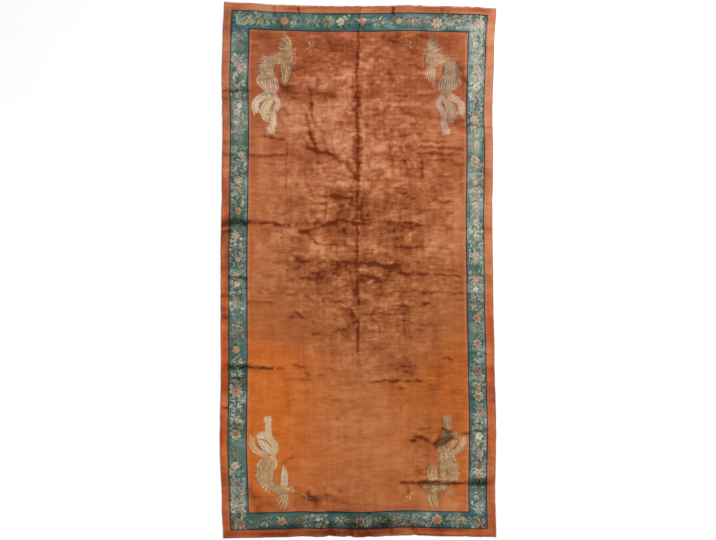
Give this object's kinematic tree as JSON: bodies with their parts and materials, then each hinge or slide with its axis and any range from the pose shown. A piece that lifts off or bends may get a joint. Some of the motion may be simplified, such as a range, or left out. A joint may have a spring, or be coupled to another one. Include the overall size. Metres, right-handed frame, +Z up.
{
  "type": "chinese rug",
  "caption": "Long hand-knotted wool carpet lying flat: rust field with facing phoenixes, teal flower border between dark lines, rust outer band, soft fold creases.",
  "frame": {"origin": "under the middle of the carpet, on the surface it lies on", "axes": "+Y along the carpet's length, towards the end that is uppermost in the picture; +X across it; +Z up out of the pile"},
  "size_m": [3.105, 6.022, 0.0116],
  "materials": {
    "wool_pile": "matte, short cut pile with a soft sheen",
    "motif_wool": "matte, short cut pile with a soft sheen"
  },
  "bodies": {
    "root": {"carpet": "wool_pile"}
  },
  "joints": []
}
